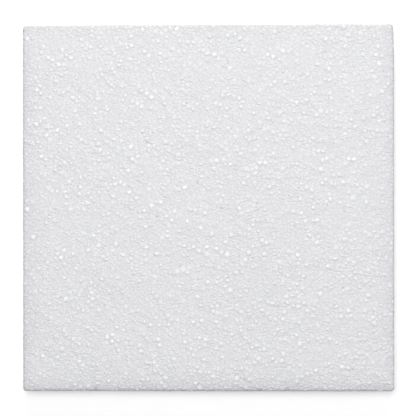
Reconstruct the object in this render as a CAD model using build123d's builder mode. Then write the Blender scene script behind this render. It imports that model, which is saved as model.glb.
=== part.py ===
"""Foam block: a square slab of white expanded polystyrene, made of beads fused in a mould.

It is one solid piece that lies on its large face, with nothing inside it and nothing that moves.
The cuts are not quite square to each other: the left side is a little shorter than the right. Two
corners are worn in along one side, and all edges are slightly rolled. The largest whole beads
stand just proud of the top and the sides, in short chains that follow the flow lines of the foam.
Three-cornered voids lie where beads did not meet, and along the front edge a few beads are
missing. The face that it rests on is flat.

Millimetres: +X runs along the front edge, +Y from the front edge to the back edge, +Z up. The
origin is the centre of the footprint, on the face that the block rests on.
"""

import os
from math import pi, sin
from random import Random

from build123d import *

# The block
block_length = 305.3
block_width = 301.9
block_thickness = 25.0

# How far the cuts leave each corner inside the rectangle that holds the block
front_left_in_x = 0.4
front_left_in_y = 0.3
back_right_in_x = 0.2
back_left_in_y = 1.2

# Two corners worn in along one side: the depth at the corner, and the length of the wear
right_wear_depth = 0.9
right_wear_length = 42.0
back_wear_depth = 0.6
back_wear_length = 40.0

# Corner radii seen from above, and the radii that the edges are rolled to
front_left_radius = 2.2
front_right_radius = 2.6
back_right_radius = 2.5
back_left_radius = 2.4
top_edge_radius = 1.9
bottom_edge_radius = 0.8

# The largest whole beads: width and rise of the crown that shows, and its root below the face
large_bead_width = 4.4
large_bead_rise = 0.26
small_bead_width = 3.4
small_bead_rise = 0.20
bead_root = 0.3

# Chains of whole beads: the gap between two beads, and the size of the field that holds a chain
bead_gap = 0.4
longest_chain = 3
top_field = 40.0
side_field = 100.0
edge_clearance = 1.5

# The flow lines: aslant on the left half, and level with a slow wave on the right half
flow_slant_deg = -42.0
flow_wave_deg = 16.0
flow_wave_length = 130.0

# Three-cornered voids between beads, one in every so many fields
void_width = 1.8
void_depth = 0.7
void_tip_share = 0.3
fields_per_void = 7

# Beads missing from the front edge: places along it from the middle, and the hollow's size
missing_bead_places = (-93.0, 42.0, 65.0)
missing_bead_width = 3.0
missing_bead_drop = 0.5

scatter_seed = 12

chance = Random(scatter_seed)


def bead_crown(width, rise):
    """The crown of a whole bead as a cap of a sphere, on a face at z = 0, with its root below."""
    radius = (width**2 / 4 + rise**2) / (2 * rise)
    with BuildPart() as crown:
        with Locations((0, 0, rise - radius)):
            Sphere(radius, rotation=(90, 0, 0))
        split(bisect_by=Plane.XY.offset(-bead_root), keep=Keep.TOP)
    return crown.part


def fields(length, width, size):
    """Centres and half sizes of the fields that a face is divided into, in rows and columns."""
    columns = max(1, round(length / size))
    rows = max(1, round(width / size))
    half_x, half_y = length / columns / 2, width / rows / 2
    for column in range(columns):
        for row in range(rows):
            centre = Vector((2 * column + 1) * half_x - length / 2, (2 * row + 1) * half_y - width / 2)
            yield centre, half_x, half_y


def spot_in_field(centre, half_x, half_y, reach_x, reach_y):
    """A chance spot in a field that keeps what reaches this far from it inside the field."""
    free_x, free_y = max(0, half_x - reach_x), max(0, half_y - reach_y)
    return centre + Vector(chance.uniform(-free_x, free_x), chance.uniform(-free_y, free_y))


def flow_angle(x, y):
    """Direction of the flow lines at a place on the top face, in degrees from +X."""
    left_share = min(1, max(0, 0.5 - x / block_length))
    wave = sin(2 * pi * y / flow_wave_length)
    return flow_slant_deg * left_share + flow_wave_deg * wave * (1 - left_share)


def chain_of_beads(middle, count, angle):
    """Centres of the beads in a chain, with its middle here and this direction."""
    step = Vector(large_bead_width + bead_gap, 0).rotate(Axis.Z, angle)
    return [middle + step * (place - (count - 1) / 2) for place in range(count)]


def side_plane(start, end):
    """A plane on a side of the block: x along the side, y up, z outward, origin at half height."""
    along = (end - start).normalized()
    middle = (start + end) / 2 + Vector(0, 0, block_thickness / 2)
    return Plane(origin=middle, x_dir=along, z_dir=along.cross(Vector(0, 0, 1)))


# The corners of the footprint before they are rounded
half_length, half_width = block_length / 2, block_width / 2
front_left = Vector(-half_length + front_left_in_x, -half_width + front_left_in_y)
front_right = Vector(half_length, -half_width)
back_right_unworn = Vector(half_length - back_right_in_x, half_width)
back_left_unworn = Vector(-half_length, half_width - back_left_in_y)

# The wear starts on the straight side, and curves in to the worn corner
right_direction = (back_right_unworn - front_right).normalized()
back_direction = (back_left_unworn - back_right_unworn).normalized()
right_wear_start = back_right_unworn - right_direction * right_wear_length
back_wear_start = back_left_unworn - back_direction * back_wear_length
back_right = back_right_unworn - Vector(right_wear_depth, 0)
back_left = back_left_unworn - Vector(0, back_wear_depth)

corner_radii = {
    front_left: front_left_radius,
    front_right: front_right_radius,
    back_right: back_right_radius,
    back_left: back_left_radius,
}

# An edge can't be rolled further than the tightest corner and the thickness allow
widest_roll = min(0.9 * min(corner_radii.values()), 0.45 * block_thickness)
top_roll = min(top_edge_radius, widest_roll)
bottom_roll = min(bottom_edge_radius, widest_roll)

# Where beads and voids lie on the top face
widest_bead = max(large_bead_width, small_bead_width)
top_margin = top_roll + edge_clearance + max(corner_radii.values())
top_length = block_length - 2 * top_margin
top_width = block_width - 2 * (top_margin + back_left_in_y)
large_beads, small_beads, voids = [], [], []
for number, field in enumerate(fields(top_length, top_width, top_field)):
    if number % fields_per_void == fields_per_void // 2:
        voids.append((spot_in_field(*field, void_width, void_width), chance.uniform(0, 120)))
        continue
    count = chance.choices((1, 2, longest_chain), weights=(5, 3, 1))[0]
    reach = count * (widest_bead + bead_gap) / 2
    middle = spot_in_field(*field, reach, reach)
    for bead in chain_of_beads(middle, count, flow_angle(middle.X, middle.Y)):
        chance.choice((large_beads, small_beads)).append(bead)

# The straight part of each side, which is where its beads lie
straight_sides = (
    (front_left, front_right),
    (front_right, right_wear_start),
    (back_right, back_wear_start),
    (back_left, front_left),
)
large_bead = bead_crown(large_bead_width, large_bead_rise)
small_bead = bead_crown(small_bead_width, small_bead_rise)

with BuildPart() as three_cornered_void:
    with BuildSketch():
        RegularPolygon(radius=void_width / 2, side_count=3)
    with BuildSketch(Plane.XY.offset(-void_depth)):
        RegularPolygon(radius=void_width / 2 * void_tip_share, side_count=3)
    loft()

with BuildPart() as foam_block:
    with BuildSketch() as footprint:
        with BuildLine():
            Line(front_left, front_right)
            Line(front_right, right_wear_start)
            TangentArc(right_wear_start, back_right, tangent=right_direction)
            Line(back_right, back_wear_start)
            TangentArc(back_wear_start, back_left, tangent=back_direction)
            Line(back_left, front_left)
        make_face()
        for corner, radius in corner_radii.items():
            fillet(footprint.vertices().sort_by_distance(corner)[0], radius=radius)
    extrude(amount=block_thickness)
    fillet(foam_block.faces().sort_by(Axis.Z)[-1].edges(), radius=top_roll)
    fillet(foam_block.faces().sort_by(Axis.Z)[0].edges(), radius=bottom_roll)

    # Whole beads and voids on the top face
    with Locations(Plane.XY.offset(block_thickness)):
        with Locations(*large_beads):
            add(large_bead)
        with Locations(*small_beads):
            add(small_bead)
        with Locations(*[Location(spot, (0, 0, turn)) for spot, turn in voids]):
            add(three_cornered_void.part, mode=Mode.SUBTRACT)

    # Whole beads on the four sides
    for start, end in straight_sides:
        side_length = (end - start).length - 2 * top_margin
        side_height = block_thickness - top_roll - bottom_roll - 2 * edge_clearance
        side_beads = [
            spot_in_field(*field, widest_bead / 2, widest_bead / 2)
            for field in fields(side_length, side_height, side_field)
        ]
        with Locations(side_plane(start, end)):
            with Locations(*side_beads):
                add(large_bead)

    # Beads missing from the front edge
    with Locations(side_plane(front_left, front_right)):
        with Locations(
            *[(place, block_thickness / 2 - missing_bead_drop) for place in missing_bead_places]
        ):
            Sphere(missing_bead_width / 2, mode=Mode.SUBTRACT)

foam_block.part.label = "foam_block"
os.makedirs("parts", exist_ok=True)
export_step(foam_block.part, "parts/foam_block.step")
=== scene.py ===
"""Foam block: a square slab of white expanded polystyrene, dressed bead by bead.

The skin of the slab is one closed mesh. Beads are packed in space and cut by the six faces of the
slab, as a hot wire cuts them, so a bead on an edge shows on both of its faces. Whole beads stand
proud as round crowns, small voids lie where beads did not meet, and a few beads are missing. The
wire and the flow of the foam leave fine strokes: aslant on the left, level on the right.
Everything is in metres.
"""

import math
from random import Random

import bmesh
import bpy
import numpy as np
from bpy.props import FloatProperty, FloatVectorProperty, IntProperty, PointerProperty
from bpy.types import Operator, Panel, PropertyGroup
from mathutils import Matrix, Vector, kdtree, noise


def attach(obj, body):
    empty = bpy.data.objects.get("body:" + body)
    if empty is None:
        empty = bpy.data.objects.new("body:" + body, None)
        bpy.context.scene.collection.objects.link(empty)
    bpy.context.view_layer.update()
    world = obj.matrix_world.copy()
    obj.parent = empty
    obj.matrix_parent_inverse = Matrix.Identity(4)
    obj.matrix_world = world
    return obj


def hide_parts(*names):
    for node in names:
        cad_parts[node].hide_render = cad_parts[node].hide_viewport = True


bl_info = {
    "name": "Foam Block",
    "version": (1, 0, 0),
    "blender": (4, 5, 0),
    "location": "3D View > Sidebar > Foam Block",
    "description": "Makes a slab of white bead foam and the studio that it is shown in",
    "category": "Add Mesh",
}

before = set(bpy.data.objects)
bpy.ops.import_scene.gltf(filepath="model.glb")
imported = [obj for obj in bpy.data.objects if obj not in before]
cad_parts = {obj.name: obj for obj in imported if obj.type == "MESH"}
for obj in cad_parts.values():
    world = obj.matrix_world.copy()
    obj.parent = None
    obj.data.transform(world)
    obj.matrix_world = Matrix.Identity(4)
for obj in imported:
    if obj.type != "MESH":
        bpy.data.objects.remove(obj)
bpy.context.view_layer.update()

# A point nearer than this to a line is on it, and points this close on the skin are one
SAME_PLACE = 1e-8
SAME_POINT = 1e-7

# The most points that one flat cell can have
MOST_POINTS = 18

# The smallest circle that a bead is measured by
SMALLEST_CIRCLE = 1e-4

# The round rings of a bead that stands out: their share of its inner radius, and their depths
CLEAR_RINGS = ((0.93, 0.56), (0.30, 0.86))
FAINT_RINGS = ((0.78,), (0.62,))


def kind_of_value(kind, **fixed):
    """What makes properties of one kind, from a name, a description and a default."""

    def make_value(name, description, default, **more):
        return kind(name=name, description=description, default=default, **{**fixed, **more})

    return make_value


length_value = kind_of_value(FloatProperty, unit="LENGTH", precision=5)
share_value = kind_of_value(FloatProperty, min=0, max=1)
power_value = kind_of_value(FloatProperty, min=0, subtype="POWER")
count_value = kind_of_value(IntProperty)
place_value = kind_of_value(FloatVectorProperty, size=3, subtype="XYZ", unit="LENGTH")
colour_value = kind_of_value(FloatVectorProperty, size=3, subtype="COLOR", min=0, max=1)


class BlockSizes(PropertyGroup):
    """The form of the slab before beads are added."""

    length: length_value("Length", "Along the front edge", 0.3053)
    width: length_value("Width", "From the front edge to the back edge", 0.3019)
    thickness: length_value("Thickness", "Height of the slab", 0.025)
    front_left_in_x: length_value("Front left in X", "How far this corner lies in", 0.0004)
    front_left_in_y: length_value("Front left in Y", "How far this corner lies in", 0.0003)
    back_right_in_x: length_value("Back right in X", "How far this corner lies in", 0.0002)
    back_left_in_y: length_value("Back left in Y", "How far this corner lies in", 0.0012)
    right_wear_depth: length_value("Right wear depth", "Wear at the back right corner", 0.0009)
    right_wear_length: length_value("Right wear length", "How far that wear runs", 0.042)
    back_wear_depth: length_value("Back wear depth", "Wear at the back left corner", 0.0006)
    back_wear_length: length_value("Back wear length", "How far that wear runs", 0.040)
    wear_reach: length_value("Wear reach", "How far into the face the wear pulls beads", 0.03)
    front_left_radius: length_value("Front left radius", "Corner seen from above", 0.0022)
    front_right_radius: length_value("Front right radius", "Corner seen from above", 0.0026)
    back_right_radius: length_value("Back right radius", "Corner seen from above", 0.0025)
    back_left_radius: length_value("Back left radius", "Corner seen from above", 0.0024)
    top_roll: length_value("Top roll", "Radius that the top edges are rolled to", 0.0019)
    bottom_roll: length_value("Bottom roll", "Radius that the bottom edges are rolled to", 0.0008)


class BeadSizes(PropertyGroup):
    """The beads, the grooves between them and what stands out of line."""

    pitch: length_value("Pitch", "Mean distance between two beads", 0.0039)
    unevenness: share_value("Unevenness", "How much the beads differ in size", 0.35)
    settling: count_value("Settling", "How often the beads push each other apart", 3)
    groove: length_value("Groove", "Depth of the groove between two beads", 0.00009)
    crown: length_value("Crown", "Rise of a whole bead above the face", 0.00026)
    cut_rise: length_value("Cut rise", "How far cut beads stand above or below the face", 0.00005)
    hollow: length_value("Hollow", "Depth left by a missing bead", 0.0011)
    void_depth: length_value("Void depth", "Depth of a void between beads", 0.0005)
    void_reach: length_value("Void reach", "From the middle of a void to its side", 0.00038)
    void_count: count_value("Void count", "Small voids on the top", 26)
    streak: length_value("Streak", "Height of the flow lines", 0.00013)
    streak_length: length_value("Streak length", "How long a flow line is", 0.013)
    streak_width: length_value("Streak width", "How wide a flow line is", 0.0042)
    whole_share: share_value("Whole share", "Share of beads that are whole", 0.38)
    whole_growth: share_value("Whole growth", "How much more room whole beads take", 0.15)
    seed: count_value("Seed", "Which packing of beads is made", 5)


class FoamFinish(PropertyGroup):
    """The colours of the foam, with its painted shade and highlights, and its surface."""

    bead: colour_value("Bead", "A bead cut by the wire", (0.756, 0.758, 0.784))
    # Partly a whiter skin and partly a painted highlight, on the middle of a small grain
    grain: colour_value("Grain", "The middle of a small grain", (0.919, 0.925, 0.949))
    # Painted shade: darker and warmer in the grooves between beads and in the cracks
    groove: colour_value("Groove", "Between two beads", (0.728, 0.719, 0.721))
    whole: colour_value("Whole bead", "The smooth skin of a whole bead", (0.848, 0.854, 0.879))
    # Painted shade deep in voids and in the hollows of missing beads
    void: colour_value("Void", "Deep in a void", (0.52, 0.46, 0.41))
    # Painted shade on the top's edges: most at the front, some on the sides, little at the back, as
    # the light falls from the back
    handled: colour_value("Handled", "Times the colour on a dulled edge", (0.80, 0.805, 0.832))
    handling_reach: length_value("Handling reach", "How far in an edge is dulled", 0.0065)
    # Painted shade in the grooves at the very rim, where the rolled edge turns from the light
    rim: colour_value("Rim", "Times the colour in grooves at the very rim", (0.85, 0.825, 0.825))
    rim_reach: length_value("Rim reach", "How wide that rim is", 0.0016)
    side_handling: share_value("Side handling", "Dulling of the sides against the front", 0.42)
    back_handling: share_value("Back handling", "Dulling of the back against the front", 0.06)
    tone_spread: share_value("Tone spread", "How far beads are lighter and darker", 0.025)
    roughness: share_value("Roughness", "Of a cut bead", 0.6)
    skin_step: length_value("Skin step", "Height of the round step of a skin", 0.00003)
    skin_roughness: share_value("Skin roughness", "Of a whole bead", 0.26)
    dents: share_value("Dents", "How far the outline of a skin is from round", 1.1, max=4)
    dent_size: length_value("Dent size", "Of the dents in the outline of a skin", 0.0016)
    glow: share_value("Glow", "How much of the light goes through the foam", 0.25)
    glow_depth: length_value("Glow depth", "How far light spreads in the foam", 0.0012)
    stroke_length: length_value("Stroke length", "Length of the strokes of the wire", 0.010)
    stroke_width: length_value("Stroke width", "Width of the strokes of the wire", 0.0013)
    stroke_height: length_value("Stroke height", "Height of the strokes of the wire", 0.00019)
    grain_size: length_value("Grain size", "Of the small grains that a cut lays open", 0.0016)
    drawn_out: share_value("Drawn out", "Length of a grain against its width", 1.22, max=4)
    grain_height: length_value("Grain height", "Height of the small grains", 0.000415)
    # How strong the painted highlight on a grain's middle is
    grain_light: share_value("Grain light", "How much of a skin a grain's middle shows", 0.8)
    crack_gap: length_value("Crack gap", "Between two of the fine cracks along the flow", 0.008)
    crack_depth: length_value("Crack depth", "Of the fine cracks", 0.0001)
    cell_size: length_value("Cell size", "Of the finest cells in a bead", 0.0011)
    cell_height: length_value("Cell height", "Relief of the finest cells", 0.00011)


class StageSettings(PropertyGroup):
    """The floor, the light and the camera."""

    floor: colour_value("Floor", "The floor that the slab lies on", (0.80, 0.80, 0.80))
    floor_glow: share_value("Floor glow", "What the camera sees of the floor's own white", 0.318)
    far_glow: share_value("Far glow", "The same where the floor meets the sky", 0.75)
    glow_start: length_value("Glow start", "Where the floor starts to fade to white", 0.3)
    glow_end: length_value("Glow end", "Where the floor has faded to white", 1.6)
    overhead_power: power_value("Overhead power", "Of the soft lamp overhead", 24.4)
    overhead_place: place_value("Overhead place", "Of the soft lamp overhead", (-0.23, 0.31, 2.2))
    overhead_size: place_value("Overhead size", "Of the soft lamp overhead", (0.85, 0.62, 0.0))
    low_power: power_value("Low power", "Of the low lamp behind the slab", 10.0)
    low_place: place_value("Low place", "Of the low lamp behind the slab", (0.0, 1.5, 0.7))
    low_size: place_value("Low size", "Of the low lamp behind the slab", (0.7, 0.35, 0.0))
    side_power: power_value("Side power", "Of the weak lamp beside the slab", 1.3)
    side_place: place_value("Side place", "Of the weak lamp beside the slab", (0.9, 0.1, 0.8))
    side_size: place_value("Side size", "Of the weak lamp beside the slab", (0.5, 0.5, 0.0))
    sky: share_value("Sky", "Strength of the light all round", 0.33, max=10)
    lens_mm: FloatProperty(name="Lens", description="Focal length in millimetres", default=135.0)


class Face:
    """One flat face of the sharp box: the two axes drawn on it, and the axis that it faces along."""

    def __init__(self, name, across, up, out, side, low, high):
        self.name = name
        self.across, self.up, self.out = across, up, out
        self.level = high[out] if side > 0 else low[out]
        self.low = np.array([low[across], low[up]])
        self.high = np.array([high[across], high[up]])

    def points(self, drawn):
        """Points of the drawing as places on the box."""
        placed = np.empty((len(drawn), 3))
        placed[:, self.across] = drawn[:, 0]
        placed[:, self.up] = drawn[:, 1]
        placed[:, self.out] = self.level
        return placed


def box_faces(size):
    """The six faces of the box, each drawn so that it is seen from outside."""
    low = np.array([-size.length / 2, -size.width / 2, 0.0])
    high = np.array([size.length / 2, size.width / 2, size.thickness])
    x, y, z = 0, 1, 2
    return [
        Face("top", x, y, z, 1, low, high),
        Face("bottom", y, x, z, -1, low, high),
        Face("front", x, z, y, -1, low, high),
        Face("back", z, x, y, 1, low, high),
        Face("right", y, z, x, 1, low, high),
        Face("left", z, y, x, -1, low, high),
    ]


# Whole beads, voids and missing beads that the solid has too: its sizes, and its chance draws
SOLID_BEAD_WIDTH = 0.0044
SOLID_BEAD_GAP = 0.0004
SOLID_VOID_WIDTH = 0.0018
SOLID_FIELD = 0.040
SOLID_EDGE_CLEARANCE = 0.0015
SOLID_FIELDS_PER_VOID = 7
SOLID_CHAIN_CHANCES = (5, 3, 1)
SOLID_FLOW_SLANT_DEG = -42.0
SOLID_FLOW_WAVE_DEG = 16.0
SOLID_FLOW_WAVE_LENGTH = 0.130
SOLID_SEED = 12
MISSING_BEADS = (-0.093, 0.042, 0.065)


def solid_marks(size):
    """Places of the whole beads and the voids on the top face, drawn by chance as in the solid."""
    chance = Random(SOLID_SEED)
    bead_step = SOLID_BEAD_WIDTH + SOLID_BEAD_GAP
    margin = size.top_roll + SOLID_EDGE_CLEARANCE + size.front_right_radius
    length = size.length - 2 * margin
    width = size.width - 2 * (margin + size.back_left_in_y)
    columns, rows = max(1, round(length / SOLID_FIELD)), max(1, round(width / SOLID_FIELD))
    half_x, half_y = length / columns / 2, width / rows / 2
    beads, voids = [], []
    for number in range(columns * rows):
        column, row = divmod(number, rows)
        middle = Vector(((2 * column + 1) * half_x - length / 2, (2 * row + 1) * half_y - width / 2))
        is_void = number % SOLID_FIELDS_PER_VOID == SOLID_FIELDS_PER_VOID // 2
        count = 0 if is_void else chance.choices((1, 2, 3), weights=SOLID_CHAIN_CHANCES)[0]
        reach = SOLID_VOID_WIDTH if is_void else count * bead_step / 2
        middle.x += chance.uniform(reach - half_x, half_x - reach)
        middle.y += chance.uniform(reach - half_y, half_y - reach)
        if is_void:
            voids.append(tuple(middle))
            # The solid draws the void's turn here, so this keeps step with it
            chance.uniform(0, 120)
            continue
        left_share = min(1, max(0, 0.5 - middle.x / size.length))
        wave = math.sin(math.tau * middle.y / SOLID_FLOW_WAVE_LENGTH)
        slant = SOLID_FLOW_SLANT_DEG * left_share
        angle = math.radians(slant + SOLID_FLOW_WAVE_DEG * wave * (1 - left_share))
        step = Vector((math.cos(angle), math.sin(angle))) * bead_step
        for place in range(count):
            beads.append(tuple(middle + step * (place - (count - 1) / 2)))
            # The solid draws the bead's size here
            chance.choice((0, 1))
    return beads, voids


# Packing of the beads

# In pitches: how far the packing reaches past the slab and into it, the distance at which two
# beads stop pushing, and the room that a bead of the solid clears for itself
OUTER_REACH = 1.6
INNER_REACH = 2.4
PUSH_DISTANCE = 1.08
MARK_CLEARANCE = 0.78

# How many neighbours push a bead, and the share of the push that it follows
PUSHING_NEIGHBOURS = 9
PUSH_SHARE = 0.45

# How far below the top the middles of whole and of missing beads lie, and how far in from the
# front edge the missing ones do
WHOLE_BELOW = 0.0003
MISSING_BELOW = 0.0004
MISSING_INSET = 0.0002

# How beads differ: how many more or fewer are whole along the flow lines, the skin of whole ones,
# the painted shade in a missing one's hollow, the mean tone and its spread, and the range of cell
# sizes
WHOLE_SHARE_RANGE = (0.3, 2.5)
FAINTEST_SKIN = 0.25
SKIN_POWER = 1.7
HOLLOW_SHADE = 0.25
BEAD_TONE = (0.5, 0.18)
CELL_SIZE_RANGE = (-0.6, 1.3)

# Voids: how far from the edges they stay, the steps away from beads that find them a place, the
# beads that could reach into one, how they differ in size, and their tone, darker than a bead's:
# painted shade
VOID_INSET = 0.006
VOID_STEPS = 12
VOID_STEP_SHARE = 0.15
VOID_NEIGHBOURS = 12
VOID_SIZE_RANGE = (0.7, 1.25)
VOID_TONE = 0.3


def tree_of(points):
    """A search tree of these points."""
    tree = kdtree.KDTree(len(points))
    for number, point in enumerate(points):
        tree.insert(point, number)
    tree.balance()
    return tree


def nearest(points, count):
    """For each point, the numbers of the points that lie nearest to it."""
    tree = tree_of(points)
    return np.array([[hit[1] for hit in tree.find_n(point, count + 1)][1:] for point in points])


def packed_beads(size, bead):
    """Centres of the beads in and around the skin of the slab: evenly spaced, but in no order."""
    chance = np.random.default_rng(bead.seed)
    pitch = bead.pitch
    reach = OUTER_REACH * pitch
    half = np.array([size.length, size.width, size.thickness]) / 2
    middle = np.array([0, 0, half[2]])
    counts = np.ceil(2 * (half + reach) / pitch).astype(int)
    cells = np.indices(counts).reshape(3, -1).T
    centres = middle - half - reach + (cells + chance.random(cells.shape)) * pitch
    inside = (half - np.abs(centres - middle)).min(axis=1)
    centres = centres[inside < INNER_REACH * pitch]
    for _ in range(bead.settling):
        away = centres[:, None] - centres[nearest(centres, PUSHING_NEIGHBOURS)]
        distance = np.linalg.norm(away, axis=2)
        push = np.clip(PUSH_DISTANCE * pitch - distance, 0, None) / np.maximum(distance, SAME_PLACE)
        centres = centres + PUSH_SHARE * (away * push[:, :, None]).sum(axis=1)
    return centres


def make_room(centres, added, clearance):
    """The added centres, followed by those of the others that don't stand in their way."""
    tree = tree_of(added)
    clear = np.array([tree.find(centre)[2] > clearance for centre in centres])
    return np.vstack((added, centres[clear]))


class Beads:
    """All beads: where they are, how large a cell they take, and how each one looks."""

    def __init__(self, size, bead):
        marks, self.void_marks = solid_marks(size)
        whole = [(x, y, size.thickness - WHOLE_BELOW) for x, y in marks]
        edge = MISSING_INSET - size.width / 2
        missing = [(x, edge, size.thickness - MISSING_BELOW) for x in MISSING_BEADS]
        fixed = np.array(whole + missing)
        self.centres = make_room(packed_beads(size, bead), fixed, MARK_CLEARANCE * bead.pitch)
        count = len(self.centres)

        chance = np.random.default_rng(bead.seed + 1)
        share = bead.whole_share * np.clip(1 + streaks(self.centres, bead), *WHOLE_SHARE_RANGE)
        is_whole = chance.random(count) < share
        is_whole[: len(whole)] = True
        self.skin = np.where(is_whole, chance.uniform(FAINTEST_SKIN, 1.0, count) ** SKIN_POWER, 0)
        self.skin[: len(whole)] = 1
        self.rise = np.where(
            is_whole, bead.crown * self.skin**0.5, bead.cut_rise * chance.normal(0, 1, count)
        )
        gone = slice(len(whole), len(fixed))
        self.rise[gone] = -bead.hollow
        self.skin[gone] = 0
        # How much painted shade a hollow takes: some in a missing bead's hollow
        self.pit = np.zeros(count)
        self.pit[gone] = HOLLOW_SHADE
        self.tone = np.clip(chance.normal(*BEAD_TONE, count), 0, 1)
        spread = chance.normal(0, bead.unevenness, count)
        spread += is_whole * chance.uniform(0, 2 * bead.whole_growth, count)
        self.sizes = np.clip(spread, *CELL_SIZE_RANGE) * (bead.pitch / 2) ** 2
        self.add_voids(size, bead, chance)

    def add_voids(self, size, bead, chance):
        """Adds the voids as tiny cells of their own, where three beads meet."""
        half = np.array([size.length, size.width]) / 2 - VOID_INSET
        tries = chance.uniform(-half, half, (bead.void_count, 2))
        tree = tree_of(self.centres)
        for x, y in [*self.void_marks, *tries]:
            spot = np.array([x, y, size.thickness])
            for _ in range(VOID_STEPS):
                flat = spot - tree.find(spot)[0]
                flat[2] = 0
                spot = spot + VOID_STEP_SHARE * flat
            near = tree.find_n(spot, VOID_NEIGHBOURS)
            away = np.array([hit[2] for hit in near])
            power = (away**2 - self.sizes[[hit[1] for hit in near]]).min()
            flat_away = np.array([(Vector(spot) - hit[0]).xy.length for hit in near[:3]]).mean()
            reach = bead.void_reach * chance.uniform(*VOID_SIZE_RANGE)
            self.centres = np.vstack((self.centres, spot))
            self.sizes = np.append(self.sizes, 2 * reach * flat_away - power)
            self.rise = np.append(self.rise, -bead.void_depth)
            self.skin = np.append(self.skin, 0)
            self.tone = np.append(self.tone, VOID_TONE)
            # A void takes the full painted shade
            self.pit = np.append(self.pit, 1)


# Cutting the packing into flat cells. A set of cells is one array of points with a count for each
# cell, so that all of them are cut at once.

# In pitches: how far beside a face and off it beads can have a part in it, and half the width of
# a cell before it is cut. The last is the number of neighbours that can cut a cell.
BESIDE_FACE = 1.5
OFF_FACE = 1.35
UNCUT_CELL = 2.2
CUTTING_NEIGHBOURS = 46


def following(counts, slots):
    """Which slots hold a point, and for each slot the one that holds the next point round."""
    place = np.arange(slots)
    real = place < counts[:, None]
    return real, np.where(place + 1 < counts[:, None], place + 1, 0)


def clip(cells, counts, normals, limits):
    """Keeps what each convex cell has on the inner side of its line, where normal . p <= limit."""
    real, after = following(counts, cells.shape[1])
    over = np.einsum("nvk,nk->nv", cells, normals) - limits[:, None]
    next_point = np.take_along_axis(cells, after[:, :, None], 1)
    next_over = np.take_along_axis(over, after, 1)
    crossing = real & ((over <= 0) != (next_over <= 0))
    share = np.where(crossing, over / np.where(crossing, over - next_over, 1), 0)
    met = cells + share[:, :, None] * (next_point - cells)
    return pick(cells, (over <= 0) & real, met, crossing)


def pick(points, keep_points, between, keep_between):
    """Cells made of the kept points, each followed by the kept point on the edge after it."""
    total, slots, _ = points.shape
    both = np.stack((points, between), axis=2).reshape(total, 2 * slots, 2)
    kept = np.stack((keep_points, keep_between), axis=2).reshape(total, 2 * slots)
    counts = kept.sum(axis=1)
    most = max(int(counts.max()), 3) if total else 3
    order = np.argsort(~kept, axis=1, kind="stable")[:, :most]
    return np.take_along_axis(both, order[:, :, None], 1), counts


def cut_packing(face, beads, pitch):
    """The cell of each bead in the plane of a face: bead numbers, cells and their point counts."""
    drawn = beads.centres[:, [face.across, face.up]]
    height = beads.centres[:, face.out] - face.level
    margin = BESIDE_FACE * pitch
    beside = ((drawn > face.low - margin) & (drawn < face.high + margin)).all(axis=1)
    numbers = np.flatnonzero(beside & (np.abs(height) < OFF_FACE * pitch))
    drawn, height = drawn[numbers], height[numbers]
    near = nearest(beads.centres[numbers], CUTTING_NEIGHBOURS)
    start = UNCUT_CELL * pitch
    corners = np.array([[-start, -start], [start, -start], [start, start], [-start, start]])
    cells = np.zeros((len(numbers), MOST_POINTS, 2))
    cells[:, :4] = drawn[:, None] + corners
    counts = np.full(len(numbers), 4)
    power = (drawn**2).sum(axis=1) + height**2 - beads.sizes[numbers]
    for neighbour in near.T:
        normals = 2 * (drawn[neighbour] - drawn)
        limits = power[neighbour] - power
        over = np.einsum("nvk,nk->nv", cells, normals) - limits[:, None]
        real, _ = following(counts, MOST_POINTS)
        cut = np.flatnonzero((real & (over > 0)).any(axis=1))
        clipped, counts[cut] = clip(cells[cut], counts[cut], normals[cut], limits[cut])
        cells[cut] = 0
        cells[cut, : clipped.shape[1]] = clipped[:, :MOST_POINTS]
    kept = counts >= 3
    return numbers[kept], cells[kept], counts[kept]


def face_regions(face, size):
    """The parts that a face is divided into, each as lines (normal, limit) around it.

    The flat middle is parted from the strips that roll over the edges, so that the roll keeps
    its form. Strips meet in a mitre at the corners of the top and the bottom.
    """
    left = (np.array([-1.0, 0.0]), -face.low[0])
    right = (np.array([1.0, 0.0]), face.high[0])
    lower = (np.array([0.0, -1.0]), -face.low[1])
    upper = (np.array([0.0, 1.0]), face.high[1])

    def inner_line(line, inset):
        return line[0], line[1] - inset

    def outer_strip(line, inset):
        return [line, (-line[0], inset - line[1])]

    if face.name in ("top", "bottom"):
        roll = size.top_roll if face.name == "top" else size.bottom_roll
        yield [inner_line(line, roll) for line in (left, right, lower, upper)]
        for line, ends in (
            (left, (lower, upper)),
            (right, (lower, upper)),
            (lower, (left, right)),
            (upper, (left, right)),
        ):
            mitres = [(end[0] - line[0], end[1] - line[1]) for end in ends]
            yield [*outer_strip(line, roll), *mitres]
        return
    at_bottom, at_top, *ends = (left, right, lower, upper) if face.across == 2 else (
        lower, upper, left, right
    )
    yield [inner_line(at_bottom, size.bottom_roll), inner_line(at_top, size.top_roll), *ends]
    yield [*outer_strip(at_bottom, size.bottom_roll), *ends]
    yield [*outer_strip(at_top, size.top_roll), *ends]


def cut_to_region(cells, counts, lines, shortest):
    """The parts of the cells inside a region, with a middle point on each edge along its border.

    Returns the parts, their point counts, and which of the cells they come from.
    """
    source = np.arange(len(cells))
    for normal, limit in lines:
        normals = np.broadcast_to(normal, (len(cells), 2))
        cells, counts = clip(cells, counts, normals, np.full(len(cells), limit))
        kept = counts >= 3
        cells, counts, source = cells[kept], counts[kept], source[kept]
    real, after = following(counts, cells.shape[1])
    next_point = np.take_along_axis(cells, after[:, :, None], 1)
    long_enough = np.linalg.norm(next_point - cells, axis=2) > shortest
    along = np.zeros(real.shape, bool)
    for normal, limit in lines:
        on_line = np.abs(cells @ normal - limit) < SAME_PLACE
        along |= on_line & np.take_along_axis(on_line, after, 1)
    parts, counts = pick(cells, real, (cells + next_point) / 2, real & along & long_enough)
    return parts, counts, source


def middle_of(cells, counts):
    """The mean of each cell's points."""
    real, _ = following(counts, cells.shape[1])
    return (cells * real[:, :, None]).sum(axis=1) / counts[:, None]


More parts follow.
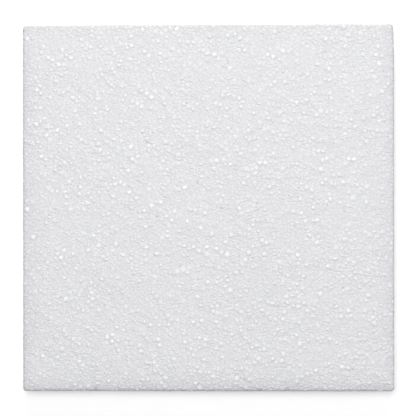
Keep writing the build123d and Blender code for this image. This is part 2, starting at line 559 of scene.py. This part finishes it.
def outward_edges(cells, counts, middles):
    """For each edge of the cells: its outward direction, and how far it lies from the middle."""
    real, after = following(counts, cells.shape[1])
    edge = np.take_along_axis(cells, after[:, :, None], 1) - cells
    length = np.linalg.norm(edge, axis=2)
    real &= length > SAME_POINT
    length = np.where(real, length, 1)
    outward = np.stack((edge[:, :, 1], -edge[:, :, 0]), axis=2) / length[:, :, None]
    reach = np.einsum("nek,nek->ne", outward, cells - middles[:, None])
    reach = np.where(real, np.maximum(reach, SAME_PLACE), np.inf)
    return outward, np.where(real.any(axis=1)[:, None], reach, SAME_PLACE)


def depth_in_cell(points, outward, reach, middles):
    """How deep each point lies in its convex cell: 0 on the border, 1 at the middle."""
    away = np.einsum("nek,nvk->nve", outward, points - middles[:, None])
    return np.clip(1 - (away / reach[:, None]).max(axis=2), 0, 1)


# Form of the slab


def corner_radii(side, size):
    """The corner radius that counts for each point, by the quarter of the slab that it is in."""
    return np.where(
        side[:, 1] < 0,
        np.where(side[:, 0] < 0, size.front_left_radius, size.front_right_radius),
        np.where(side[:, 0] < 0, size.back_left_radius, size.back_right_radius),
    )


def on_the_block(points, size):
    """Places on the rolled slab for points on the sharp box, and which way is outward there."""
    half = np.array([size.length / 2, size.width / 2])
    flat, height = points[:, :2], points[:, 2]
    side = np.where(flat < 0, -1.0, 1.0)
    radii = corner_radii(side, size)
    past = np.abs(flat) - (half - radii[:, None])
    in_corner = (past > 0).all(axis=1)
    reach = past.max(axis=1)
    length = np.where(in_corner, np.linalg.norm(past, axis=1), 1)
    turned = half - radii[:, None] + past * (reach / length)[:, None]
    rounded = side * np.where(in_corner[:, None], turned, np.abs(flat))
    nearest_side = np.eye(2)[np.argmin(half - np.abs(flat), axis=1)]
    out_flat = side * np.where(in_corner[:, None], past / length[:, None], nearest_side)
    inset = np.where(in_corner, radii - reach, (half - np.abs(flat)).min(axis=1))

    lift, slide, up, out = (np.zeros(len(points)) for _ in range(4))
    for roll, depth, sense in (
        (size.top_roll, size.thickness - height, 1.0),
        (size.bottom_roll, height, -1.0),
    ):
        sideways = np.clip(roll - inset, 0, roll)
        upward = np.clip(roll - depth, 0, roll)
        total = np.hypot(sideways, upward)
        total = np.where(total > 0, total, 1)
        rolled = (sideways > 0) & (upward > 0)
        slide = np.where(rolled, roll * sideways / total - sideways, slide)
        lift = np.where(rolled, sense * (roll * upward / total - upward), lift)
        up = np.where(upward > 0, sense * upward / total, up)
        out = np.where(upward > 0, sideways / total, out)
    out = np.where((up == 0) & (out == 0), 1.0, out)
    places = np.column_stack((rounded + out_flat * slide[:, None], height + lift))
    return places, np.column_stack((out_flat * out[:, None], up))


def share_near(away, reach):
    """1 where something is, falling to 0 at its reach."""
    return np.clip(1 - away / reach, 0, 1)


def worn_outline(places, size):
    """The places moved to the slab's true outline: out of square, and worn at two corners."""
    half_length, half_width = size.length / 2, size.width / 2
    x, y, z = places.T
    from_left = x / size.length + 0.5
    from_front = y / size.width + 0.5
    right_run = share_near(half_width - y, size.right_wear_length)
    right_near = share_near(half_length - x, size.wear_reach)
    back_run = share_near(half_length + x, size.back_wear_length)
    back_near = share_near(half_width - y, size.wear_reach)
    move_x = (
        size.front_left_in_x * (1 - from_left) * (1 - from_front)
        - size.back_right_in_x * from_left * from_front
        - size.right_wear_depth * (right_run * right_near) ** 2
    )
    move_y = (
        size.front_left_in_y * (1 - from_left) * (1 - from_front)
        - size.back_left_in_y * (1 - from_left) * from_front
        - size.back_wear_depth * (back_run * back_near) ** 2
    )
    return np.column_stack((x + move_x, y + move_y, z))


# The fall of the flow lines at the middle of the slab and how it lessens to the right, and how
# wide and how far they wander
FLOW_FALL = 0.42
FLOW_BEND = 1.8
WANDER_WIDTH = 0.05
WANDER = 0.006

# Flow lines: the height of wide and of narrow ones, and how many narrow ones to a wide one
WIDE_SHARE = 1.3
NARROW_SHARE = 0.7
NARROW_COUNT = 2.1
NARROW_SHIFT = 9.3


def along_flow(places):
    """The places with Y measured from the flow line that they lie on.

    The lines run down to the right on the left side and level out on the right, with a slow
    wander in them.
    """
    x, y, z = places.T
    wander = np.array([noise.noise(Vector(place) / WANDER_WIDTH) for place in places])
    return np.column_stack((x, y + FLOW_FALL * x - FLOW_BEND * x**2 + WANDER * wander, z))


def streaks(places, bead):
    """Flow lines of the foam, mostly from -1 to 1: wide ones with narrow ones on them."""
    wide = np.array([bead.streak_length, bead.streak_width, bead.streak_width])
    flow = along_flow(places)
    coarse = [noise.noise(Vector(place)) for place in flow / wide]
    fine = [noise.noise(Vector(place)) for place in NARROW_COUNT * flow / wide + NARROW_SHIFT]
    return WIDE_SHARE * np.array(coarse) + NARROW_SHARE * np.array(fine)


# The skin of the slab

# The shortest edge that gets a middle point, and the depth that a bead has on the sharp edge
SHORTEST_SPLIT = 0.0006
EDGE_DEPTH = 0.6

# Up to the first depth a point lies on the border of its cell. An outline with no point deeper
# than the second is that of a whole cell.
BORDER_DEPTH = 1e-6
UNCUT_DEPTH = 0.01

# What gets round rings: beads that rise by this share of a crown, in cells at least this large
# from middle to border. Those with more skin than this get all of the rings.
RINGED_RISE = 0.4
SMALLEST_RINGED = 0.0004
CLEAR_SKIN = 0.6

# How steeply a hollow's wall goes down, the reach of the deeper grooves along the edges, and how
# much faster the painted edge shade ends down a side
HOLLOW_STEEPNESS = 3
EDGE_REACH = 0.003
DOWN_SIDE = 3

# A bead that rises by less than this many crowns leaves a hollow, and skin that is turned further
# down than this belongs to the flat bottom
HOLLOW_RISE = -2
TURNED_DOWN = -0.5


class Skin:
    """Collects the points and faces of the skin from all parts of all faces."""

    def __init__(self):
        self.points, self.depth, self.owner, self.offset = [], [], [], []
        self.faces, self.face_owner = [], []
        self.total = 0

    def add_cell(self, face, number, middle, rings, depths, circle):
        """Adds a cell as rings of points from the rim inward, closed by a point in the middle.

        Each point also keeps its place in the circle that fits in the bead, of radius one.
        """
        drawn = np.vstack((*rings, middle[None]))
        circle_middle, radius = circle
        self.offset.append((drawn - circle_middle) / radius)
        self.points.append(face.points(drawn))
        self.depth.append(depths)
        self.owner.append(np.full(len(drawn), number))
        count = len(rings[0])
        centre = self.total + len(drawn) - 1
        for place in range(count):
            after = (place + 1) % count
            for ring in range(len(rings)):
                outer = self.total + ring * count
                inner = outer + count
                if ring + 1 < len(rings):
                    self.faces.append((outer + place, outer + after, inner + after, inner + place))
                else:
                    self.faces.append((outer + place, outer + after, centre))
                self.face_owner.append(number)
        self.total += len(drawn)


def add_region(skin, face, lines, cut, beads, bead):
    """Adds the parts of the cells that lie in one region of a face."""
    numbers, cells, counts = cut
    parts, part_counts, source = cut_to_region(cells, counts, lines, SHORTEST_SPLIT)
    cell_middles = middle_of(cells, counts)
    outward, reach = outward_edges(cells, counts, cell_middles)
    gauge = (outward[source], reach[source], cell_middles[source])
    depth = depth_in_cell(parts, *gauge)
    on_border = np.zeros(depth.shape, bool)
    for axis in (0, 1):
        for edge in (face.low[axis], face.high[axis]):
            on_border |= np.abs(parts[:, :, axis] - edge) < SAME_PLACE
    depth = np.where(on_border, np.where(depth < BORDER_DEPTH, 0, EDGE_DEPTH), depth)
    middles = middle_of(parts, part_counts)
    middle_depth = depth_in_cell(middles[:, None], *gauge)[:, 0]
    for number, cell in enumerate(source):
        count = part_counts[number]
        owner = numbers[cell]
        rim = parts[number, :count]
        rim_depth = depth[number, :count]
        is_uncut = count == counts[cell] and rim_depth.max() < UNCUT_DEPTH
        inner_radius = reach[cell].min()
        circle = (cell_middles[cell], max(inner_radius, SMALLEST_CIRCLE))
        stands_out = abs(beads.rise[owner]) > RINGED_RISE * bead.crown or beads.pit[owner] > 0
        is_ringed = stands_out and face.name != "bottom" and inner_radius > SMALLEST_RINGED
        if is_uncut and is_ringed:
            away = rim - cell_middles[cell]
            unit = away / np.linalg.norm(away, axis=1)[:, None]
            is_clear = beads.skin[owner] > CLEAR_SKIN or beads.pit[owner] > 0
            shares, ring_depths = CLEAR_RINGS if is_clear else FAINT_RINGS
            rings = [rim] + [cell_middles[cell] + unit * inner_radius * share for share in shares]
            depths = np.concatenate((rim_depth, np.repeat(ring_depths, count), [1.0]))
            skin.add_cell(face, owner, cell_middles[cell], rings, depths, circle)
        else:
            last = middle_depth[number] if inner_radius > SMALLEST_CIRCLE else 0
            skin.add_cell(face, owner, middles[number], [rim], np.append(rim_depth, last), circle)


def make_skin(size, bead, finish):
    """The skin of the slab as one closed mesh, with what the finish needs stored on it."""
    beads = Beads(size, bead)
    skin = Skin()
    for face in box_faces(size):
        cut = cut_packing(face, beads, bead.pitch)
        for lines in face_regions(face, size):
            add_region(skin, face, lines, cut, beads, bead)
    points, depth = np.vstack(skin.points), np.concatenate(skin.depth)
    owner, face_owner = np.concatenate(skin.owner), np.array(skin.face_owner)

    edge_near = edge_nearness(points, size)
    rise, pit = beads.rise[owner], beads.pit[owner]
    steep_depth = np.clip(HOLLOW_STEEPNESS * depth, 0, 1)
    crown = np.where(rise < HOLLOW_RISE * bead.crown, steep_depth, depth)
    groove = bead.groove * (1 + edge_near) * np.clip(1 - 2 * depth, 0, 1)
    lift = rise * crown - groove + bead.streak * streaks(points, bead)
    lift = np.minimum(lift, bead.crown)
    places, normals = on_the_block(points, size)
    lift = np.where(normals[:, 2] < TURNED_DOWN, np.minimum(-groove, 0), lift)
    places = worn_outline(places + normals * lift[:, None], size)

    mesh = bpy.data.meshes.new("foam_block")
    mesh.from_pydata(places, [], skin.faces)
    mesh.polygons.foreach_set("use_smooth", [True] * len(mesh.polygons))
    store(mesh, "bead_depth", "POINT", depth)
    # How much painted shade each point of a void or a hollow takes
    store(mesh, "pit_depth", "POINT", pit * crown)
    # Painted shade along the top's edges, and in the grooves at the rim
    dulled, rim = edge_shading(points, size, finish)
    store(mesh, "dulled", "POINT", dulled)
    store(mesh, "rim", "POINT", rim)
    store(mesh, "bead_skin", "FACE", beads.skin[face_owner])
    store(mesh, "bead_tone", "FACE", beads.tone[face_owner])
    store(mesh, "flow", "POINT", along_flow(points))
    corners = np.empty(len(mesh.loops), np.int32)
    mesh.loops.foreach_get("vertex_index", corners)
    offset = np.vstack(skin.offset)[corners]
    store(mesh, "in_circle", "CORNER", np.column_stack((offset, np.zeros(len(corners)))))
    weld(mesh)
    return mesh


def edge_nearness(points, size):
    """1 on the edges of the top face, falling off over some millimetres."""
    half = np.array([size.length / 2, size.width / 2])
    inset = (half - np.abs(points[:, :2])).min(axis=1)
    below = size.thickness - points[:, 2]
    return np.exp(-(inset + below) / EDGE_REACH)


def edge_shading(points, size, finish):
    """How much painted shade each point near the top's edges takes, and how near the rim it lies.

    The shade stands for light that falls from the back: the front edge takes the most and the back
    edge the least.
    """
    x, y, z = points.T
    below = DOWN_SIDE * np.maximum(size.thickness - size.top_roll - z, 0)
    to_side = size.length / 2 - np.abs(x)
    to_front, to_back = size.width / 2 + y, size.width / 2 - y
    dulled, rim = np.zeros(len(points)), np.zeros(len(points))
    for share, inset in (
        (1.0, to_front),
        (finish.side_handling, to_side),
        (finish.back_handling, to_back),
    ):
        away = inset + below
        dulled = np.maximum(dulled, share * np.exp(-away / finish.handling_reach))
        rim = np.maximum(rim, np.exp(-away / finish.rim_reach))
    return dulled, rim


def store(mesh, name, domain, values):
    """Keeps a number or a vector for each point, corner or face on the mesh."""
    kind, field = ("FLOAT", "value") if values.ndim == 1 else ("FLOAT_VECTOR", "vector")
    attribute = mesh.attributes.new(name, kind, domain)
    attribute.data.foreach_set(field, values.ravel().astype(np.float32))


def weld(mesh):
    """Joins the parts along their shared points, and raises an error if the skin isn't closed.

    A cell too small to keep its form can leave a single flap or edge behind, which goes first.
    """
    work = bmesh.new()
    work.from_mesh(mesh)
    bmesh.ops.remove_doubles(work, verts=work.verts, dist=SAME_POINT)
    flaps = {edge.link_faces[0] for edge in work.edges if len(edge.link_faces) == 1}
    bmesh.ops.delete(work, geom=list(flaps), context="FACES")
    stray = [edge for edge in work.edges if not edge.link_faces]
    bmesh.ops.delete(work, geom=stray, context="EDGES")
    gaps = sum(1 for edge in work.edges if len(edge.link_faces) != 2)
    work.to_mesh(mesh)
    work.free()
    if gaps:
        raise RuntimeError(f"The skin of the slab has {gaps} open edges")


# The finish

# Ranges over which something fades: the bands of the cut, a skin by its place in the bead's
# circle, a grain's painted highlight by its distance, a groove's painted shade by its depth, and a
# crack across and along itself
BAND_FADE = (-0.2, 0.2)
SKIN_FADE = (0.50, 1.04)
GRAIN_FADE = (0.10, 0.45)
GROOVE_FADE = (0.0, 0.35)
CRACK_WIDTH = (0.0, 0.014)
CRACK_START = (0.0, 0.12)

# Against the gap between two cracks: the length of one, and the size of the fields that have some
CRACK_LENGTH = 6
CRACK_FIELD = (5, 3, 3)

# The size of the bands, and the relief on their smoothest and roughest part
BAND_SIZE = (0.08, 0.022, 0.022)
BAND_RELIEF = (0.7, 1.2)

# The relief that a skin keeps and the shaded edge band gains, the share of the painted edge shade
# that a skin takes, how much of the rim's painted shade lies outside grooves, and how dark the
# painted shade in a crack is against a groove
SKIN_RELIEF = 0.15
SHADED_EDGE_RELIEF = 1.6
SKIN_EDGE_SHADE = 0.45
RIM_SHADE_ON_BEADS = 0.35
CRACK_SHADE = 0.7

# How far grains and the finest cells run into each other
GRAIN_SMOOTHNESS = 0.4
CELL_SMOOTHNESS = 0.3


class Nodes:
    """Builds the nodes of a material or a world, with short names for the kinds that it uses."""

    def __init__(self, owner, shader="Principled BSDF"):
        owner.use_nodes = True
        self.nodes = owner.node_tree.nodes
        self.links = owner.node_tree.links
        self.shader = self.nodes[shader]

    def set(self, socket, value):
        """Links an output to a socket, or writes a plain value on it."""
        if isinstance(value, bpy.types.NodeSocket):
            self.links.new(value, socket)
        elif isinstance(value, (int, float)):
            socket.default_value = value
        else:
            value = tuple(value)
            socket.default_value = (*value, 1) if socket.type == "RGBA" else value

    def fill(self, node, values):
        """Sets the inputs of a node, and returns the node."""
        for label, value in values.items():
            self.set(node.inputs[label], value)
        return node

    def step(self, kind, operation, *values):
        """A node that does one step of arithmetic."""
        node = self.nodes.new(kind)
        node.operation = operation
        for socket, value in zip(node.inputs, values):
            self.set(socket, value)
        return node

    def stored(self, name, output="Fac"):
        """A value kept on the mesh."""
        node = self.nodes.new("ShaderNodeAttribute")
        node.attribute_name = name
        return node.outputs[output]

    def math(self, operation, first, second):
        """One step of arithmetic with numbers."""
        return self.step("ShaderNodeMath", operation, first, second).outputs[0]

    def times(self, first, second):
        """The product of two numbers."""
        return self.math("MULTIPLY", first, second)

    def between(self, share, low, high):
        """A number that goes from low to high with a share."""
        return self.remap(share, (0.0, 1.0), (low, high))

    def place(self):
        """The place on the object."""
        return self.nodes.new("ShaderNodeTexCoord").outputs["Object"]

    def scaled(self, vector, sizes):
        """A place divided by these sizes along the three axes."""
        return self.step("ShaderNodeVectorMath", "DIVIDE", vector, sizes).outputs[0]

    def blend(self, share, first, second, kind="MIX"):
        """Two colours mixed, or multiplied, by a share."""
        node = self.nodes.new("ShaderNodeMix")
        node.data_type = "RGBA"
        node.blend_type = kind
        return self.fill(node, {"Factor": share, "A": first, "B": second}).outputs["Result"]

    def remap(self, value, from_range, to_range, kind="LINEAR"):
        """A value moved from one range to another."""
        node = self.nodes.new("ShaderNodeMapRange")
        node.interpolation_type = kind
        labels = ("Value", "From Min", "From Max", "To Min", "To Max")
        return self.fill(node, dict(zip(labels, (value, *from_range, *to_range)))).outputs["Result"]

    def length(self, vector):
        """The length of a vector."""
        return self.step("ShaderNodeVectorMath", "LENGTH", vector).outputs["Value"]

    def cloud(self, place, detail=2.0):
        """Smooth noise at a scale of one, about 0."""
        node = self.nodes.new("ShaderNodeTexNoise")
        values = {"Vector": place, "Scale": 1.0, "Detail": detail, "Roughness": 0.5}
        return self.math("SUBTRACT", self.fill(node, values).outputs["Fac"], 0.5)

    def grains(self, place, smoothness):
        """Distance to the middle of the nearest grain, for grains of size one."""
        node = self.nodes.new("ShaderNodeTexVoronoi")
        node.feature = "SMOOTH_F1"
        values = {"Vector": place, "Scale": 1.0, "Smoothness": smoothness}
        return self.fill(node, values).outputs["Distance"]

    def seen(self):
        """1 on what the camera sees, also in a reflection or through something clear, and else 0."""
        path = self.nodes.new("ShaderNodeLightPath")
        seen = path.outputs["Is Camera Ray"]
        for ray in ("Is Glossy Ray", "Is Transmission Ray"):
            seen = self.math("MAXIMUM", seen, path.outputs[ray])
        return seen

    def cracks(self, flow, gap):
        """1 on long thin lines that follow the flow, in some places only."""
        height = self.cloud(self.scaled(flow, (CRACK_LENGTH * gap, gap, gap)), detail=1.0)
        away = self.math("ABSOLUTE", height, 0.0)
        line = self.remap(away, CRACK_WIDTH, (1.0, 0.0))
        somewhere = self.cloud(self.scaled(flow, [share * gap for share in CRACK_FIELD]))
        return self.times(line, self.remap(somewhere, CRACK_START, (0.0, 1.0)))


def foam_material(finish):
    """White bead foam: strokes and grains on the cut, smooth whole beads, grooves and voids."""
    material = bpy.data.materials.new("white_bead_foam")
    make = Nodes(material)
    depth = make.stored("bead_depth")
    skin = make.stored("bead_skin")
    dulled, rim = make.stored("dulled"), make.stored("rim")
    flow = make.stored("flow", "Vector")
    millimetre = 1000

    # Relief in millimetres: strokes lie along the flow, and grains and the finest cells do not
    stroke_size = (finish.stroke_length, finish.stroke_width, finish.stroke_width)
    strokes = make.cloud(make.scaled(flow, stroke_size), detail=1.0)
    place = make.place()
    grain_size = (finish.grain_size * finish.drawn_out, finish.grain_size, finish.grain_size)
    grains = make.grains(make.scaled(place, grain_size), GRAIN_SMOOTHNESS)
    cells = make.grains(make.scaled(place, (finish.cell_size,) * 3), CELL_SMOOTHNESS)
    relief = make.times(strokes, finish.stroke_height * millimetre)
    grain_relief = make.times(grains, -finish.grain_height * millimetre)
    cell_relief = make.times(cells, -finish.cell_height * millimetre)
    relief = make.math("ADD", relief, make.math("ADD", grain_relief, cell_relief))
    cracks = make.cracks(flow, finish.crack_gap)
    crack_relief = make.times(cracks, -finish.crack_depth * millimetre)

    # Bands of the cut are rougher and smoother, and whole beads are the smoothest
    bands = make.cloud(make.scaled(flow, BAND_SIZE))
    rough_share = make.remap(bands, BAND_FADE, BAND_RELIEF)
    from_middle = make.length(make.stored("in_circle", "Vector"))
    dents = make.cloud(make.scaled(place, (finish.dent_size,) * 3), detail=1.0)
    from_middle = make.math("ADD", from_middle, make.times(dents, finish.dents))
    crown = make.remap(from_middle, SKIN_FADE, (1.0, 0.0), "SMOOTHSTEP")
    smooth_skin = make.times(skin, crown)
    cut_share = make.between(smooth_skin, 1.0, SKIN_RELIEF)
    relief = make.times(relief, make.times(rough_share, cut_share))
    relief = make.times(relief, make.between(dulled, 1.0, SHADED_EDGE_RELIEF))
    relief = make.math("ADD", relief, crack_relief)
    round_rim = make.times(smooth_skin, finish.skin_step * millimetre)
    relief = make.math("ADD", relief, round_rim)
    bump = make.nodes.new("ShaderNodeBump")
    make.fill(bump, {"Strength": 1.0, "Distance": 1 / millimetre, "Height": relief})

    # Colour: brighter on skins, with a painted highlight on the middles of grains, darker and warmer
    # painted shade in grooves, cracks and voids, and painted shade at the edges and the rim
    # The middles of grains take the grain colour: partly a whiter skin, partly a painted highlight
    grain_middle = make.remap(grains, GRAIN_FADE, (1.0, 0.0), "SMOOTHSTEP")
    grain_highlight_amount = make.times(grain_middle, finish.grain_light)
    grain_highlight_amount = make.times(grain_highlight_amount, rough_share)
    shine = make.math("MAXIMUM", smooth_skin, grain_highlight_amount)
    cut_colour = make.blend(grain_highlight_amount, finish.bead, finish.grain)
    tones = (1 - finish.tone_spread, 1 + finish.tone_spread)
    tone = make.remap(make.stored("bead_tone"), (0.0, 1.0), tones)
    # Painted shade in grooves and cracks, darker and warmer than the beads
    groove_shade_share = make.remap(depth, GROOVE_FADE, (1.0, 0.0), "SMOOTHSTEP")
    rim_shade_share = make.between(groove_shade_share, RIM_SHADE_ON_BEADS, 1.0)
    rim_shade_share = make.times(rim, rim_shade_share)
    groove_shade_share = make.math("MAXIMUM", groove_shade_share, make.times(cracks, CRACK_SHADE))
    colour = make.blend(groove_shade_share, cut_colour, finish.groove)
    colour = make.blend(1.0, colour, tone, "MULTIPLY")
    colour = make.blend(smooth_skin, colour, finish.whole)
    # Painted shade at the edges, less on skins and on the middles of grains
    shade_taken = make.between(shine, 1.0, SKIN_EDGE_SHADE)
    shade_share = make.times(dulled, shade_taken)
    colour = make.blend(shade_share, colour, make.blend(1.0, colour, finish.handled, "MULTIPLY"))
    # Painted shade in the grooves at the very rim, and some on the beads there
    colour = make.blend(rim_shade_share, colour, make.blend(1.0, colour, finish.rim, "MULTIPLY"))
    # Painted shade in voids and hollows
    colour = make.blend(make.stored("pit_depth"), colour, finish.void)

    rough = make.between(shine, finish.roughness, finish.skin_roughness)
    make.fill(make.shader, {
        "Base Color": colour,
        "Normal": bump.outputs["Normal"],
        "Roughness": rough,
        "IOR": 1.45,
        "Subsurface Weight": finish.glow,
        "Subsurface Radius": (1.0, 1.0, 1.0),
        "Subsurface Scale": finish.glow_depth,
    })
    return material


# The stage

# From the middle of the floor to its sides
FLOOR_REACH = 3.0


def add_object(name, data):
    """A new object with this mesh, lamp or camera, in the scene."""
    item = bpy.data.objects.new(name, data)
    bpy.context.scene.collection.objects.link(item)
    return item


def add_floor(settings):
    """A pale floor that shows white where the light reaches it, and keeps the slab's shadow."""
    mesh = bpy.data.meshes.new("floor")
    signs = ((-1, -1), (1, -1), (1, 1), (-1, 1))
    corners = [(x * FLOOR_REACH, y * FLOOR_REACH, 0) for x, y in signs]
    mesh.from_pydata(corners, [], [(0, 1, 2, 3)])
    floor = add_object("floor", mesh)
    material = bpy.data.materials.new("floor")
    make = Nodes(material)
    fade = (settings.glow_start, settings.glow_end)
    glow = make.remap(make.length(make.place()), fade, (settings.floor_glow, settings.far_glow))
    make.fill(make.shader, {
        "Base Color": settings.floor,
        "Roughness": 0.9,
        "Specular IOR Level": 0.0,
        "Emission Color": (1, 1, 1),
        "Emission Strength": make.times(make.seen(), glow),
    })
    mesh.materials.append(material)


def add_lamp(name, place, size, power):
    """A soft lamp that points at the middle of the floor."""
    light = bpy.data.lights.new(name, "AREA")
    light.shape = "RECTANGLE"
    light.size, light.size_y = size[:2]
    light.energy = power
    lamp = add_object(name, light)
    lamp.location = place
    lamp.rotation_euler = (-Vector(place)).to_track_quat("-Z", "Y").to_euler()


def add_sky(strength):
    """Even light from all round, which the camera and reflections see as white."""
    world = bpy.data.worlds.new("studio")
    bpy.context.scene.world = world
    make = Nodes(world, "Background")
    level = make.between(make.seen(), strength, 1.0)
    make.fill(make.shader, {"Color": (1, 1, 1), "Strength": level})


# How the slab lies in the picture, in pixels of a picture this wide
PICTURE_WIDTH = 416.0
SLAB_WIDTH_SEEN = 371.49
SLAB_MIDDLE_SEEN = (208.545, 207.67)

# The camera's sensor in millimetres, and the distances between which it sees
SENSOR_WIDTH_MM = 36.0
SEEN_RANGE = (0.05, 20.0)


def add_camera(size, lens_mm):
    """A camera straight above the slab, at the distance where it fills the picture as it should."""
    camera = bpy.data.cameras.new("camera")
    camera.lens = lens_mm
    camera.sensor_width = SENSOR_WIDTH_MM
    metres_per_pixel = size.length / SLAB_WIDTH_SEEN
    seen_width = metres_per_pixel * PICTURE_WIDTH
    distance = seen_width * camera.lens / camera.sensor_width
    camera.clip_start, camera.clip_end = SEEN_RANGE
    eye = add_object("camera", camera)
    half = PICTURE_WIDTH / 2
    shift_x = (half - SLAB_MIDDLE_SEEN[0]) * metres_per_pixel
    shift_y = (SLAB_MIDDLE_SEEN[1] - half) * metres_per_pixel
    outline_height = size.thickness - size.top_roll
    eye.location = (shift_x, shift_y, outline_height + distance)
    bpy.context.scene.camera = eye


# Operators


class FOAM_OT_block(Operator):
    """Make the slab of bead foam over the solid that it stands for"""

    bl_idname = "foam.block"
    bl_label = "Foam Block"

    def execute(self, context):
        scene = context.scene
        finish = scene.foam_finish
        mesh = make_skin(scene.foam_block_sizes, scene.foam_bead_sizes, finish)
        mesh.materials.append(foam_material(finish))
        block = add_object("bead_foam_slab", mesh)
        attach(block, "root")
        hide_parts("foam_block")
        return {"FINISHED"}


class FOAM_OT_stage(Operator):
    """Make the pale floor, the soft light and the camera"""

    bl_idname = "foam.stage"
    bl_label = "Studio"

    def execute(self, context):
        scene = context.scene
        settings = scene.foam_stage
        add_floor(settings)
        add_sky(settings.sky)
        for name in ("overhead", "low", "side"):
            place, size, power = (
                getattr(settings, f"{name}_{what}") for what in ("place", "size", "power")
            )
            add_lamp(f"{name}_lamp", place, size, power)
        add_camera(scene.foam_block_sizes, settings.lens_mm)
        scene.view_settings.view_transform = "Standard"
        return {"FINISHED"}


class FOAM_PT_panel(Panel):
    """Lists what makes the foam block and its studio"""

    bl_idname = "FOAM_PT_panel"
    bl_label = "Foam Block"
    bl_space_type = "VIEW_3D"
    bl_region_type = "UI"
    bl_category = "Foam Block"

    def draw(self, context):
        layout = self.layout
        scene = context.scene
        for place, kind in GROUPS.items():
            box = layout.box()
            box.label(text=kind.__doc__)
            for name in kind.__annotations__:
                box.prop(getattr(scene, place), name)
        layout.operator(FOAM_OT_block.bl_idname)
        layout.operator(FOAM_OT_stage.bl_idname)


GROUPS = {
    "foam_block_sizes": BlockSizes,
    "foam_bead_sizes": BeadSizes,
    "foam_finish": FoamFinish,
    "foam_stage": StageSettings,
}

CLASSES = (*GROUPS.values(), FOAM_OT_block, FOAM_OT_stage, FOAM_PT_panel)


def register():
    for item in CLASSES:
        bpy.utils.register_class(item)
    for name, group in GROUPS.items():
        setattr(bpy.types.Scene, name, PointerProperty(type=group))


def unregister():
    for name in GROUPS:
        delattr(bpy.types.Scene, name)
    for item in reversed(CLASSES):
        bpy.utils.unregister_class(item)


def main():
    """Makes the slab and its studio."""
    register()
    bpy.ops.foam.block()
    bpy.ops.foam.stage()


if __name__ == "__main__":
    main()
